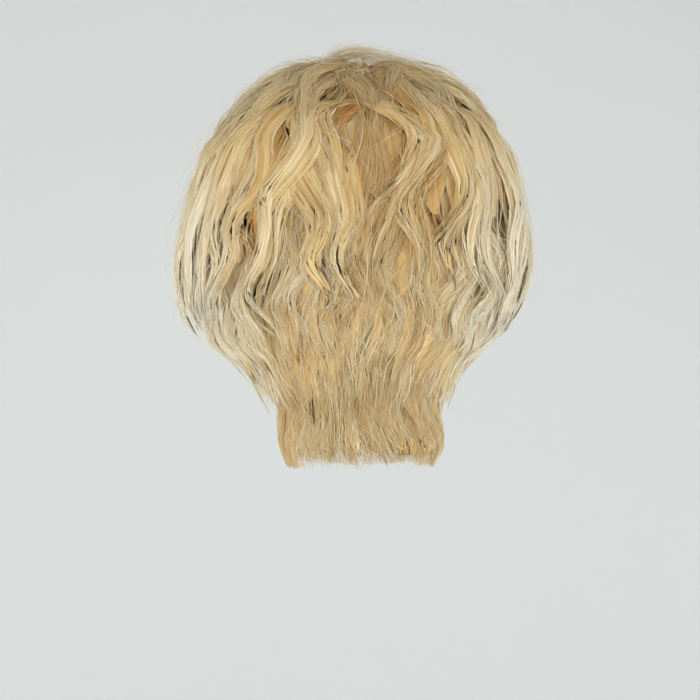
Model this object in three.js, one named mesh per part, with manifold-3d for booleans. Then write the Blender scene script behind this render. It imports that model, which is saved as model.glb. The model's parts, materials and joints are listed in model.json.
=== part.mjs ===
// A short, wavy synthetic wig, built as wigs are sewn: a stretch cap that fits the head, and rows of
// hair (wefts) sewn round it. Each row is a sewn root strip with its locks hanging from it, and each
// row's hair lies over the rows below it, so the rows nest like the tiles of a roof.
// Millimetres, +Z up. The origin is where the crown of the head meets the inside of the cap. The face
// looks along -Y, the back of the head along +Y, and +X is the wearer's left.
import * as THREE from "three";
import { mergeVertices } from "three/addons/utils/BufferGeometryUtils.js";
import Module from "manifold-3d";

const wasm = await Module();
wasm.setup();

// Driving dimensions, in millimetres and degrees
const CAP_WALL = 1.5; // stretch net, doubled along its sewn rows
const CAP_TURN = 12; // between the stations of the cap round the head
const CAP_ROWS = 8; // stations of the cap from the crown to its edge
const CAP_GAP = 1.2; // between the cap and the hair that lies on it
const CLEARANCE = 0.5; // kept free on each side of every row, so that no two pieces touch
const STRIP_TURN = 15; // between the stations of a root strip
const STRIP_FILL = 0.5; // share of a row's thickness that its root strip fills
const STRIP_EDGE = 0.25; // how much of that is left at the strip's two edges
const STRIP_RAGGED = 0.4; // in rings: how far every other point of its lower edge is drawn up
const STRIP_SLANT = 0.25; // share of its span that a strip loses on the way down
const RIDGE_FILL = 0.75; // share of a row's thickness that a lock fills where it is full
const RIDGE_LEAST = 0.3; // how much of that a lock keeps near its tip
const EDGE_LIFT = 0.4; // a lock's thin edges stand off what lies below, besides the rise of its round form
const ROOT_WIDTH = 0.55; // a lock's width at its root, as a share of its full width
const WIDTH_GROWTH = 1.8; // how fast it widens along its length
const WIDEST = 0.85; // half width of a lock at most, as a share of the locks' spacing
const TIP_POINT = 4; // how late it narrows to its tip
const RISE_LENGTH = 0.35; // share of its length over which a lock rises to its own level
const SWAY_LENGTH = 0.4; // share of its length over which its waves reach their full swing
const FAN_START = 0.4; // share of its length after which the tips spread
const LOCK_JITTER = 0.3; // how unevenly the locks are spaced, as a share of their spacing
const PHASE_SHIFT = 0.2; // turns by which the waves shift from one lock to the next
const PHASE_JITTER = 0.3; // turns by which that varies
const LEVELS = [0, 0.5, 1]; // how far out in their row the named locks lie, by turns
const ROW_STEP = 0.5; // in rings: the rows hand thickness to each other in steps of this
const NAMED_STEP = 0.25; // in rings: between the sections of a named lock
const SEWN_EDGE = 0.15; // how much of a row is there already at its sewn edge

// Rings run round the wig from the crown, ring 0, to the nape. A drop is measured down from the crown, and
// the other columns are half widths and depths. This is the form of the head and neck that the wig fits.
const HEAD_RINGS = [
  { drop: 0, left: 0, right: 0, back: 0, front: 0 },
  { drop: 6, left: 26, right: 26, back: 33, front: 31 },
  { drop: 26, left: 51, right: 51, back: 64, front: 61 },
  { drop: 58, left: 69, right: 69, back: 86, front: 83 },
  { drop: 100, left: 76, right: 76, back: 95, front: 92 },
  { drop: 132, left: 73, right: 73, back: 91, front: 92 },
  { drop: 160, left: 66, right: 66, back: 79, front: 86 },
  { drop: 187, left: 56, right: 56, back: 62, front: 70 },
  { drop: 216, left: 48, right: 48, back: 49, front: 52 },
  { drop: 256, left: 45, right: 45, back: 44, front: 45 },
];

// The outside of the hair on the same rings. It is fuller on the wearer's left.
const HAIR_RINGS = [
  { drop: -22, left: 0, right: 0, back: 0, front: 0 },
  { drop: -13, left: 50, right: 48, back: 52, front: 44 },
  { drop: 8, left: 85, right: 82, back: 87, front: 77 },
  { drop: 42, left: 111, right: 104, back: 114, front: 98 },
  { drop: 90, left: 124, right: 117, back: 128, front: 109 },
  { drop: 130, left: 129, right: 117, back: 126, front: 106 },
  { drop: 164, left: 118, right: 100, back: 110, front: 98 },
  { drop: 191, left: 83, right: 72, back: 86, front: 82 },
  { drop: 222, left: 62, right: 58, back: 66, front: 62 },
  { drop: 256, left: 57, right: 59, back: 58, front: 56 },
];

// The cap's edge: the ring that it reaches, by the angle from the middle of the back, alike on both sides.
// It is low on the nape, rises over the ear, has a tab before the ear and runs along the hairline.
const CAP_EDGE = [
  { angle: 0, ring: 6.6 },
  { angle: 44, ring: 6.5 },
  { angle: 64, ring: 6.1 },
  { angle: 84, ring: 5.1 },
  { angle: 98, ring: 4.7 },
  { angle: 114, ring: 5.2 },
  { angle: 134, ring: 3.9 },
  { angle: 156, ring: 2.9 },
  { angle: 180, ring: 2.7 },
];

// The rows of hair, the innermost first. Root and tip are rings, endTip is the tip at the row's two ends, and
// the root strip thins out at stripEnd. Middle and span are degrees round the head from the middle of the
// back, and bare is the half of the span that the named locks below fill.
const ROWS = [
  { name: "nape_weft", root: 6, stripEnd: 8.5, tip: 9, endTip: 8.9, middle: 0, span: 120, bare: 0 },
  { name: "low_back_weft", root: 5, stripEnd: 7, tip: 8.5, endTip: 8, middle: 0, span: 168, bare: 0 },
  { name: "ear_to_ear_weft", root: 4, stripEnd: 6, tip: 7.5, endTip: 6.9, middle: 0, span: 210, bare: 0 },
  { name: "fringe_weft", root: 2.5, stripEnd: 3.5, tip: 4.5, endTip: 4.5, middle: 180, span: 105, bare: 0 },
  { name: "upper_weft", root: 3, stripEnd: 5.5, tip: 6.5, endTip: 6.4, middle: 0, span: 240, bare: 0 },
  { name: "crown_weft", root: 1.5, stripEnd: 4, tip: 6.4, endTip: 5, middle: 0, span: 360, bare: 60 },
  { name: "top_hair", root: 0, stripEnd: 2, tip: 3, endTip: 3, middle: 0, span: 360, bare: 0 },
];

// How the locks of each row look. Width is a lock's half width, sway is how far its waves swing to each side,
// waves is how many there are, ragged is how many rings the tips differ by, and fan spreads the tips.
const LOCK_STYLES = {
  nape_weft: { locks: 9, width: 13.5, sway: 2, waves: 0.5, ragged: 0.2, fan: 0.4, step: 0.5 },
  low_back_weft: { locks: 11, width: 18, sway: 4, waves: 0.8, ragged: 0.6, fan: 0, step: 0.5 },
  ear_to_ear_weft: { locks: 13, width: 18, sway: 7, waves: 1.5, ragged: 0.8, fan: 0, step: 0.5 },
  fringe_weft: { locks: 7, width: 16, sway: 4, waves: 0.7, ragged: 0.4, fan: 0, step: 0.5 },
  upper_weft: { locks: 14, width: 19, sway: 8, waves: 1.7, ragged: 0.7, fan: 0, step: 0.5 },
  crown_weft: { locks: 12, width: 17, sway: 8, waves: 1.4, ragged: 0.5, fan: 0, step: 0.5 },
  top_hair: { locks: 15, width: 19, sway: 6, waves: 1.2, ragged: 0.6, fan: 0, step: 0.5 },
};

// The named locks of the crown's row, which show at the back: where each bends on its way down.
const CROWN_LOCKS = {
  left_side: [
    { ring: 2, angle: 46 },
    { ring: 3, angle: 51 },
    { ring: 3.9, angle: 58 },
    { ring: 4.7, angle: 55 },
    { ring: 5.6, angle: 62 },
  ],
  left_wave: [
    { ring: 2, angle: 36 },
    { ring: 3, angle: 33 },
    { ring: 3.6, angle: 35 },
    { ring: 4.1, angle: 43 },
    { ring: 4.6, angle: 42 },
    { ring: 5.5, angle: 56 },
  ],
  left_curl: [
    { ring: 2, angle: 24 },
    { ring: 3.4, angle: 22 },
    { ring: 3.9, angle: 32 },
    { ring: 4.7, angle: 31 },
    { ring: 5.4, angle: 37 },
    { ring: 6, angle: 32 },
  ],
  long_s: [
    { ring: 1.9, angle: -6 },
    { ring: 2.4, angle: 22 },
    { ring: 3.1, angle: 25 },
    { ring: 4.1, angle: 13 },
    { ring: 4.8, angle: 16 },
    { ring: 5.4, angle: 10 },
    { ring: 5.9, angle: 15 },
  ],
  middle_curl: [
    { ring: 2.1, angle: 3 },
    { ring: 2.6, angle: 13 },
    { ring: 3.4, angle: 6 },
    { ring: 4.1, angle: 3 },
    { ring: 4.7, angle: 8 },
    { ring: 5.4, angle: 0 },
  ],
  middle_sweep: [
    { ring: 2.2, angle: -8 },
    { ring: 3, angle: -24 },
    { ring: 3.6, angle: -11 },
    { ring: 4.3, angle: -5 },
    { ring: 5.3, angle: -2 },
  ],
  right_sweep: [
    { ring: 2.2, angle: -21 },
    { ring: 3.1, angle: -31 },
    { ring: 3.8, angle: -17 },
    { ring: 4.5, angle: -21 },
    { ring: 5.4, angle: -24 },
  ],
  right_curl: [
    { ring: 2.2, angle: -33 },
    { ring: 3.2, angle: -38 },
    { ring: 3.7, angle: -39 },
    { ring: 4.3, angle: -29 },
    { ring: 5.2, angle: -35 },
  ],
  right_wave: [
    { ring: 2, angle: -45 },
    { ring: 3.5, angle: -47 },
    { ring: 4.2, angle: -42 },
    { ring: 4.8, angle: -46 },
    { ring: 5.4, angle: -56 },
  ],
};

const NET = { color: 0xb98f5e, roughness: 0.85, metalness: 0 };
const HAIR = { color: 0xbba076, roughness: 0.45, metalness: 0 };

const { clamp, degToRad, euclideanModulo, lerp, radToDeg, smoothstep } = THREE.MathUtils;

// Counts from 0 to n, both included.
const steps = (n) => Array.from({ length: n + 1 }, (_, i) => i);

// A repeatable number from 0 to 1 for a pair of counts.
function chance(a, b) {
  const x = Math.sin(a * 12.9898 + b * 78.233) * 43758.5453;
  return x - Math.floor(x);
}

// One column of a table of rings at any ring number, on a smooth curve through the rows. Beyond the crown
// the curve is mirrored, so that the top is round.
function column(rings, key, ring) {
  const mirrored = key === "drop" ? 1 : -1;
  const row = (i) => (i < 0 ? mirrored * rings[-i][key] : rings[Math.min(i, rings.length - 1)][key]);
  const i = Math.min(Math.floor(ring), rings.length - 2);
  const t = ring - i;
  const [before, from, to, after] = [row(i - 1), row(i), row(i + 1), row(i + 2)];
  const [slope, nextSlope] = [(to - before) / 2, (after - from) / 2];
  const cubic = 2 * (from - to) + slope + nextSlope;
  const square = 3 * (to - from) - 2 * slope - nextSlope;
  return ((cubic * t + square) * t + slope) * t + from;
}

// A point of a form on a ring, at an angle round from the back.
function formPoint(rings, angle, ring) {
  const [side, back] = [Math.sin(degToRad(angle)), Math.cos(degToRad(angle))];
  const width = column(rings, side > 0 ? "left" : "right", ring);
  const depth = column(rings, back > 0 ? "back" : "front", ring);
  return new THREE.Vector3(side * width, back * depth, -column(rings, "drop", ring));
}

// The point a given distance out from the head, on the line to the outside of the hair.
function liftedPoint(angle, ring, lift) {
  const head = formPoint(HEAD_RINGS, angle, ring);
  return head.add(formPoint(HAIR_RINGS, angle, ring).sub(head).setLength(lift));
}

// The thickness of the hair over the cap.
function hairDepth(angle, ring) {
  const whole = formPoint(HEAD_RINGS, angle, ring).distanceTo(formPoint(HAIR_RINGS, angle, ring));
  return whole - CAP_WALL - CAP_GAP;
}

// How strongly a row is present at a ring: it grows from the row's sewn edge and thins to its tips.
function presence(row, ring) {
  if (ring < row.root) return 0;
  const grown = lerp(SEWN_EDGE, 1, clamp((ring - row.root) / ROW_STEP, 0, 1));
  return grown * clamp(row.tip - ring, 0, 1);
}

// The shares of the hair's thickness where a row begins and ends, counted from the cap.
function shareOnStep(row, ring) {
  const held = ROWS.map((other) => presence(other, ring));
  const before = held.slice(0, ROWS.indexOf(row)).reduce((sum, part) => sum + part, 0);
  const total = held.reduce((sum, part) => sum + part, 0) || 1;
  return { from: before / total, to: (before + presence(row, ring)) / total };
}

// The distances from the head between which a row's hair lies. They run straight between the row steps, so
// that neighbouring rows meet on the same surface.
function roomFor(row, angle, ring) {
  const stepBelow = Math.floor(ring / ROW_STEP) * ROW_STEP;
  const t = (ring - stepBelow) / ROW_STEP;
  const [upper, lower] = [shareOnStep(row, stepBelow), shareOnStep(row, stepBelow + ROW_STEP)];
  const depth = hairDepth(angle, ring);
  const from = CAP_WALL + CAP_GAP + depth * lerp(upper.from, lower.from, t) + CLEARANCE;
  const to = CAP_WALL + CAP_GAP + depth * lerp(upper.to, lower.to, t) - CLEARANCE;
  return { from, free: Math.max(to - from, 0) };
}

// A solid from points and faces. Points at one place are joined, and faces that this leaves flat are dropped.
function solidOf(points, faces) {
  const geometry = new THREE.BufferGeometry().setFromPoints(points);
  geometry.setIndex(faces.flatMap(([a, b, c, d]) => (d === undefined ? [a, b, c] : [a, b, c, a, c, d])));
  const merged = mergeVertices(geometry, 1e-3);
  const index = merged.index.array;
  const triangles = steps(index.length / 3 - 1).map((i) => [...index.slice(3 * i, 3 * i + 3)]);
  const triVerts = new Uint32Array(triangles.filter((corners) => new Set(corners).size === 3).flat());
  const vertProperties = merged.attributes.position.array;
  return new wasm.Manifold(new wasm.Mesh({ numProp: 3, vertProperties, triVerts }));
}

// A wall between two sheets of points, rows by columns. A closed one runs all the way round the head.
function wallSolid(inner, outer, closed) {
  const [rows, columns] = [inner.length, inner[0].length];
  const low = rows - 1;
  const inside = (r, c) => r * columns + (c % columns);
  const outside = (r, c) => rows * columns + inside(r, c);
  const faces = [];
  for (const c of steps(closed ? columns - 1 : columns - 2)) {
    for (const r of steps(rows - 2)) {
      faces.push([outside(r, c), outside(r, c + 1), outside(r + 1, c + 1), outside(r + 1, c)]);
      faces.push([inside(r, c), inside(r + 1, c), inside(r + 1, c + 1), inside(r, c + 1)]);
    }
    faces.push([inside(0, c), inside(0, c + 1), outside(0, c + 1), outside(0, c)]);
    faces.push([inside(low, c), outside(low, c), outside(low, c + 1), inside(low, c + 1)]);
  }
  for (const r of closed ? [] : steps(rows - 2)) {
    const end = columns - 1;
    faces.push([inside(r, 0), outside(r, 0), outside(r + 1, 0), inside(r + 1, 0)]);
    faces.push([inside(r, end), inside(r + 1, end), outside(r + 1, end), outside(r, end)]);
  }
  return solidOf([...inner.flat(), ...outer.flat()], faces);
}

function capEdgeRing(angle) {
  const turned = Math.abs(euclideanModulo(angle + 180, 360) - 180);
  const next = Math.max(1, CAP_EDGE.findIndex((row) => row.angle >= turned - 1e-9));
  const [from, to] = [CAP_EDGE[next - 1], CAP_EDGE[next]];
  return lerp(from.ring, to.ring, smoothstep(turned, from.angle, to.angle));
}

function capSolid() {
  const angles = steps(360 / CAP_TURN - 1).map((i) => i * CAP_TURN);
  const capPoint = (angle, r, lift) => liftedPoint(angle, (capEdgeRing(angle) * r) / CAP_ROWS, lift);
  const sheet = (lift) => steps(CAP_ROWS).map((r) => angles.map((angle) => capPoint(angle, r, lift)));
  return wallSolid(sheet(0), sheet(CAP_WALL), true);
}

// The sewn strip that a row's locks hang from. It swells below the roots and thins out under the locks, in
// a ragged edge and with slanting ends. The top's strip is a full disc over the crown.
function rootStrip(row) {
  const closed = row.span === 360;
  const turns = Math.round(row.span / STRIP_TURN);
  const lastRow = (row.stripEnd - row.root) / ROW_STEP;
  const stripPoint = (i, r, fill) => {
    const atEnd = r === lastRow;
    const atEdge = atEnd || (r === 0 && row.root > 0);
    const ring = row.root + r * ROW_STEP - (atEnd && i % 2 ? STRIP_RAGGED : 0);
    const span = closed ? row.span : row.span * (1 - STRIP_SLANT * (r / lastRow));
    const angle = row.middle + span * (i / turns - 0.5);
    const { from, free } = roomFor(row, angle, ring);
    return liftedPoint(angle, ring, from + free * fill * (atEdge ? STRIP_EDGE : 1));
  };
  const columns = steps(closed ? turns - 1 : turns);
  const sheet = (fill) => steps(lastRow).map((r) => columns.map((i) => stripPoint(i, r, fill)));
  return wallSolid(sheet(0), sheet(STRIP_FILL), closed);
}

// How wide and thick a lock is along its length: full soon after the root, and pointed at the tip.
function lockTaper(along) {
  return Math.min(1, ROOT_WIDTH + WIDTH_GROWTH * along) * Math.sqrt(1 - along ** TIP_POINT);
}

// A lock: a three-sided bar with a flat underside and a ridge. Its course gives the angle at each ring.
function lockSolid(row, style, tip, level, course) {
  const first = row.root === 0 ? ROW_STEP / 2 : row.root + ROW_STEP;
  const count = Math.ceil((tip - first) / style.step);
  const rings = steps(count).map((i) => Math.min(first + i * style.step, tip));
  const sections = rings.map((ring, i) => {
    const along = (ring - row.root) / (tip - row.root);
    const angle = course(ring, along);
    const taper = i === count ? 0 : lockTaper(along);
    const reach = Math.hypot(...formPoint(HAIR_RINGS, angle, ring).setZ(0).toArray());
    const half = Math.min(radToDeg((style.width * taper) / reach), (WIDEST * row.span) / style.locks);
    const { from, free } = roomFor(row, angle, ring);
    const deep = free * RIDGE_FILL * Math.max(taper, RIDGE_LEAST);
    const base = from + (free - deep) * level * smoothstep(along, 0, RISE_LENGTH);
    const rise = reach * (1 - Math.cos(degToRad(half)));
    const edge = base + Math.min(EDGE_LIFT + rise, deep / 2);
    if (taper === 0) return Array(3).fill(liftedPoint(angle, ring, edge));
    return [
      liftedPoint(angle + half, ring, edge),
      liftedPoint(angle, ring, base + deep),
      liftedPoint(angle - half, ring, edge),
    ];
  });
  const faces = [[0, 1, 2]];
  for (const i of steps(count - 1))
    for (const side of steps(2)) {
      const [here, next] = [3 * i + side, 3 * i + ((side + 1) % 3)];
      faces.push([here, here + 3, next + 3, next]);
    }
  return solidOf(sections.flat(), faces);
}

// The locks that a row shares out evenly over its span, with a sway that shifts from lock to lock.
function evenLocks(row) {
  const style = LOCK_STYLES[row.name];
  return steps(style.locks - 1).map((i) => {
    const luck = (n) => chance(10 * ROWS.indexOf(row) + n, i + 1);
    const place = (i + 0.5 + LOCK_JITTER * (luck(1) - 0.5)) / style.locks - 0.5;
    const home = (row.span - 2 * row.bare) * place + Math.sign(place) * row.bare;
    const tip = lerp(row.tip, row.endTip, 4 * place * place) - style.ragged * luck(2);
    const phase = 2 * Math.PI * (PHASE_SHIFT * i + PHASE_JITTER * luck(3));
    const course = (ring, along) => {
      const reach = Math.hypot(...formPoint(HAIR_RINGS, row.middle + home, ring).setZ(0).toArray());
      const wave = Math.sin(phase + 2 * Math.PI * style.waves * along);
      const swing = style.sway * smoothstep(along, 0, SWAY_LENGTH) * wave;
      const spread = 1 + style.fan * smoothstep(along, FAN_START, 1);
      return row.middle + home * spread + radToDeg(swing / reach);
    };
    return lockSolid(row, style, tip, luck(4), course);
  });
}

// A named lock, on a smooth curve through its bends.
function bentLock(row, bends, level) {
  const curve = new THREE.SplineCurve(bends.map(({ ring, angle }) => new THREE.Vector2(ring, angle)));
  const course = (ring) => {
    const next = clamp(bends.findIndex((bend) => bend.ring >= ring), 1, bends.length - 1);
    const [from, to] = [bends[next - 1].ring, bends[next].ring];
    const between = clamp((ring - from) / (to - from), 0, 1);
    return curve.getPoint((next - 1 + between) / (bends.length - 1)).y;
  };
  const style = { ...LOCK_STYLES[row.name], step: NAMED_STEP };
  return lockSolid(row, style, bends.at(-1).ring, level, course);
}

function rowSolid(row) {
  const named = row.name === "crown_weft" ? Object.values(CROWN_LOCKS) : [];
  const levelOf = (i) => LEVELS[i % LEVELS.length];
  const locks = [...evenLocks(row), ...named.map((bends, i) => bentLock(row, bends, levelOf(i)))];
  return locks.reduce((sum, lock) => sum.add(lock), rootStrip(row));
}

function meshOf(name, solid, finish) {
  const { vertProperties, triVerts } = solid.getMesh();
  const geometry = new THREE.BufferGeometry();
  geometry.setAttribute("position", new THREE.BufferAttribute(vertProperties, 3));
  geometry.setIndex(new THREE.BufferAttribute(triVerts, 1));
  geometry.computeVertexNormals();
  const mesh = new THREE.Mesh(geometry, new THREE.MeshStandardMaterial(finish));
  mesh.name = name;
  return mesh;
}

const wig = new THREE.Group();
wig.add(meshOf("wig_cap", capSolid(), NET));
for (const row of ROWS) wig.add(meshOf(row.name, rowSolid(row), HAIR));

export default wig;
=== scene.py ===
# %% [markdown]
# # A short, wavy synthetic wig
# A wig is a stretch net cap with rows of hair, called wefts, sewn round it from the nape up to the
# crown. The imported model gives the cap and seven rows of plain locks. This lesson dresses them: the cap
# becomes a woven net, and every row becomes thousands of fine fibres that follow the same locks.

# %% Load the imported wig
import json
import math
from collections import namedtuple

import bpy
import numpy as np
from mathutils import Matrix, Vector

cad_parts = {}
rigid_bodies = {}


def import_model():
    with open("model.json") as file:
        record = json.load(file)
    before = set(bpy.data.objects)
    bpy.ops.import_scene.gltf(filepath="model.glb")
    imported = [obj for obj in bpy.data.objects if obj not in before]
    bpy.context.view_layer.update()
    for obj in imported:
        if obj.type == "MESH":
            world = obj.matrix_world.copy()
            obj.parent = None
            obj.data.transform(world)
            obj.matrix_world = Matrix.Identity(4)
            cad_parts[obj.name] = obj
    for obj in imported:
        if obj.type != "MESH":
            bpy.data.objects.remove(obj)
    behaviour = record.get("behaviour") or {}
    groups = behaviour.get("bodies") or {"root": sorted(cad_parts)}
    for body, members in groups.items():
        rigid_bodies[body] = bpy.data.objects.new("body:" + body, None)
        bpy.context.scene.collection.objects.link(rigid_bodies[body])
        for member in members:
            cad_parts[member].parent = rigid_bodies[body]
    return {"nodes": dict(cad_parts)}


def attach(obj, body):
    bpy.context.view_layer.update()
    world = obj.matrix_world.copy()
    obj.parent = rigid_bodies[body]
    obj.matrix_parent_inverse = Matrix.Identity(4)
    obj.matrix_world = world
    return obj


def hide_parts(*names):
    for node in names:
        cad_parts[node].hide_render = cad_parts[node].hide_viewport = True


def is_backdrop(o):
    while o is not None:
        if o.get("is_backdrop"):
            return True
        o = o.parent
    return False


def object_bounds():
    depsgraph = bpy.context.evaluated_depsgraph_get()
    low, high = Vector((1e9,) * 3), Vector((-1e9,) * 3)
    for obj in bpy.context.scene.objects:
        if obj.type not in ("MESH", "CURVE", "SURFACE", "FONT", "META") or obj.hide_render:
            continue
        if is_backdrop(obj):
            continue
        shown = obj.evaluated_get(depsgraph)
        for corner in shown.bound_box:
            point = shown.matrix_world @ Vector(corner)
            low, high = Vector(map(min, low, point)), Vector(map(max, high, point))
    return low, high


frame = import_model()
cad_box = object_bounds()
print("nodes:", ", ".join(sorted(frame["nodes"])))

# %% [markdown]
# ## The camera
# The wig is seen from behind, level with the middle of the picture. A long lens from a good way off
# keeps the outline free of perspective, as in a shop's picture. The lens follows from how much of the
# wig one pixel of the picture covers.

# %% Place the camera
PICTURE_WIDTH = 700  # pixels
PIXEL = 0.00068  # metres of the wig that one pixel covers
EYE_DISTANCE = 1.6  # metres from the middle of the wig
PICTURE_MIDDLE = (0.0068, 0.0, -0.178)  # the point that the middle of the picture shows

bpy.ops.object.select_all(action="DESELECT")
eye = (PICTURE_MIDDLE[0], EYE_DISTANCE, PICTURE_MIDDLE[2])
bpy.ops.object.camera_add(location=eye, rotation=(math.pi / 2, 0, math.pi))
camera = bpy.context.object
camera.data.lens = camera.data.sensor_width * EYE_DISTANCE / (PICTURE_WIDTH * PIXEL)
bpy.context.scene.camera = camera
print("lens:", round(camera.data.lens, 1), "mm")

# %% [markdown]
# ## The backdrop
# The floor is a wide pale sheet that curves up into a wall on every side, as a paper backdrop does, so
# that no corner shows from any angle. A flat grid is added and its points are raised by a formula,
# which takes less work than bending a sheet by hand.

# %% Make the backdrop
FLOOR_DROP = 0.9  # metres below the tips of the hair
STAGE_REACH = 5.0
STAGE_FLAT = 1.8  # radius of the level floor
STAGE_RISE = 0.35  # how steeply the sheet curves up outside it
STAGE_CELLS = 100

floor_height = cad_box[0].z - FLOOR_DROP
bpy.ops.mesh.primitive_grid_add(
    x_subdivisions=STAGE_CELLS,
    y_subdivisions=STAGE_CELLS,
    size=2 * STAGE_REACH,
)
stage = bpy.context.object
stage.name = "backdrop"
for vertex in stage.data.vertices:
    outside = max(0.0, math.hypot(vertex.co.x, vertex.co.y) - STAGE_FLAT)
    vertex.co.z = floor_height + STAGE_RISE * outside**2
bpy.ops.object.shade_smooth()
stage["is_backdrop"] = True
print("floor at", round(floor_height, 3), "m")

# %% [markdown]
# ## The light
# The hair is lit evenly. Two large lamps stand on the camera's side, a little low, so that few shadows
# show between the locks, and one at each side keeps the outline bright. Four more are turned to the
# backdrop, and the even light of the room does the rest.

# %% Light the studio
ROOM_LIGHT = 0.47
WIG_MIDDLE = (0.0, 0.0, -0.12)
LAMPS = (  # name, place, the point that it is aimed at, size and watts
    ("key_lamp", (0.25, 2.2, -0.5), WIG_MIDDLE, 1.0, 11.5),
    ("fill_lamp", (-0.25, 2.2, -0.6), WIG_MIDDLE, 1.0, 11.0),
    ("left_lamp", (2.0, 0.3, -0.6), WIG_MIDDLE, 1.2, 6.5),
    ("right_lamp", (-2.0, 0.3, -0.6), WIG_MIDDLE, 1.2, 6.0),
    ("backdrop_lamp_1", (0.0, -1.2, 1.2), (0.0, -3.3, 0.5), 2.0, 16.0),
    ("backdrop_lamp_2", (1.2, 0.0, 1.2), (3.3, 0.0, 0.5), 2.0, 16.0),
    ("backdrop_lamp_3", (0.0, 1.2, 1.2), (0.0, 3.3, 0.5), 2.0, 16.0),
    ("backdrop_lamp_4", (-1.2, 0.0, 1.2), (-3.3, 0.0, 0.5), 2.0, 16.0),
)

for name, place, aim, size, watts in LAMPS:
    bpy.ops.object.light_add(type="AREA", location=place)
    lamp = bpy.context.object
    lamp.name = name
    lamp.data.size = size
    lamp.data.energy = watts
    away = lamp.location - Vector(aim)
    lamp.rotation_euler = away.to_track_quat("Z", "Y").to_euler()

world = bpy.data.worlds.new("studio")
world.use_nodes = True
world.node_tree.nodes["Background"].inputs["Color"].default_value = (1.0, 1.0, 1.0, 1.0)
world.node_tree.nodes["Background"].inputs["Strength"].default_value = ROOM_LIGHT
bpy.context.scene.world = world
bpy.context.scene.view_settings.view_transform = "Standard"
print("lamps:", len(LAMPS))

# %% [markdown]
# ## Shader expressions
# A material is a web of nodes. Written out node by node it is hard to read, so a small class wraps a
# socket. Sums and products of such values add their Math nodes, and one method adds any other node.

# %% Wrap a socket so that maths on it reads as maths
class Value:
    def __init__(self, socket):
        self.socket = socket

    def node(self, kind, settings, inputs, output=0):
        """Adds a node beside this value: first its settings, then the values or links of its sockets."""
        tree = self.socket.id_data
        made = tree.nodes.new(kind)
        for name, setting in settings.items():
            if name == "stops":
                set_stops(made.color_ramp, setting)
            else:
                setattr(made, name, setting)
        for name, given in inputs.items():
            if isinstance(given, Value):
                tree.links.new(given.socket, made.inputs[name])
            else:
                made.inputs[name].default_value = given
        return Value(made.outputs[output])

    def math(self, operation, first, second):
        return self.node("ShaderNodeMath", {"operation": operation}, {0: first, 1: second})

    def __add__(self, other):
        return self.math("ADD", self, other)

    __radd__ = __add__

    def __sub__(self, other):
        return self.math("SUBTRACT", self, other)

    def __rsub__(self, other):
        return self.math("SUBTRACT", other, self)

    def __mul__(self, other):
        return self.math("MULTIPLY", self, other)

    __rmul__ = __mul__

    def __pow__(self, other):
        return self.math("POWER", self, other)

    def wave(self):
        """The sine of this value, from 0 to 1."""
        return 0.5 + 0.5 * self.math("SINE", self, 0.0)


def set_stops(ramp, stops):
    while len(ramp.elements) < len(stops):
        ramp.elements.new(1.0)
    for element, (position, colour) in zip(ramp.elements, stops):
        element.position = position
        element.color = (*colour, 1.0)


MAP_NAME = "OFBake"


def new_material(name):
    """A material, its main shader and the two values of its pieces' own map."""
    material = bpy.data.materials.new(name)
    material.use_nodes = True
    shader = material.node_tree.nodes["Principled BSDF"]
    start = Value(shader.inputs["Base Color"])
    place = start.node("ShaderNodeUVMap", {"uv_map": MAP_NAME}, {})
    across = place.node("ShaderNodeSeparateXYZ", {}, {"Vector": place}, "X")
    along = Value(across.socket.node.outputs["Y"])
    return material, shader, across, along


def feed(value, shader, name):
    value.socket.id_data.links.new(value.socket, shader.inputs[name])


print("shader expressions ready")

# %% [markdown]
# ## The hair's colour
# Synthetic hair is blended from fibres of several shades, here from a deep golden one to a pale ash one.
# The deep shades go to the hair in the gaps as painted shade, and the pale ones to the outer locks as
# painted light. Each fibre keeps one shade, so its shade is stored in its map (across the map) together
# with how far along the fibre a point is (up the map). Roots are painted a little darker, as painted
# shade under the other hair, and tips a little paler, as painted light.

# %% Mix the hair's colour
HAIR_SHADES = (  # from the deepest fibres to the palest
    (0.0, (0.56, 0.260, 0.070)),
    (0.25, (0.68, 0.440, 0.165)),
    (0.5, (0.76, 0.560, 0.270)),
    (0.75, (0.86, 0.725, 0.480)),
    (1.0, (0.93, 0.870, 0.720)),
)
# painted shade at the roots, where they lie under the other hair, and painted light at the tips
ROOT_PAINTED_SHADE = 0.16
TIP_PAINTED_LIGHT = 0.05
HAIR_ROUGHNESS = 0.55
PALE_SMOOTHER = 0.10
HAIR_GLOSS = 0.3


def hair_material():
    material, shader, shade, along = new_material("hair_fibre")
    tone = shade - ROOT_PAINTED_SHADE * (1 - along) ** 3 + TIP_PAINTED_LIGHT * along**2
    colour = tone.node("ShaderNodeValToRGB", {"stops": HAIR_SHADES}, {"Fac": tone})
    feed(colour, shader, "Base Color")
    feed(HAIR_ROUGHNESS - PALE_SMOOTHER * shade, shader, "Roughness")
    shader.inputs["Specular IOR Level"].default_value = HAIR_GLOSS
    return material


HAIR = hair_material()
print("hair shades:", len(HAIR_SHADES))

# %% [markdown]
# ## The form under the hair
# Everything on the wig is placed by three numbers: the angle round the head from the middle of the
# back, the ring (0 at the crown, 9 at the nape's tips) and the lift out from the head. Two short tables
# give the head and the outside of the hair on each ring, and smooth curves run through their rows. The
# packed locks were worked out in the same way, so the fibres lie where the locks are.

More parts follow.
